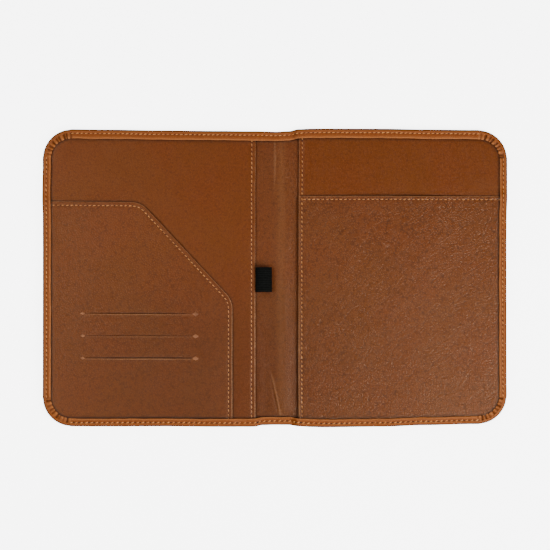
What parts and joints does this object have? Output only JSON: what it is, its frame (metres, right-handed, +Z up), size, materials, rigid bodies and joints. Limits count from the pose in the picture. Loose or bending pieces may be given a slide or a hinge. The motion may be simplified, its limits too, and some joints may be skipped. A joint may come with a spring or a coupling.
{
  "type": "document case",
  "caption": "Open leather document case with turned-in stitched rim, panel pockets, card slits, soft spine and elastic pen loop.",
  "frame": {"origin": "middle of the open case's bounding box, on the face that it rests on", "axes": "+X from the left panel to the right panel, +Y to the head of the case, +Z up from the table"},
  "size_m": [0.3736, 0.2399, 0.0097],
  "materials": {
    "cover_leather": "satin cognac leather with a burnished, waxy rim",
    "inside_leather": "satin chestnut leather with a fine pebble grain",
    "elastic": "matt ribbed woven elastic"
  },
  "bodies": {
    "root": {"outer_cover": "cover_leather", "left_panel": "inside_leather", "right_panel": "inside_leather", "spine_lining": "inside_leather", "document_pocket": "inside_leather", "notepad_pocket": "inside_leather", "pen_loop": "elastic"}
  },
  "joints": []
}
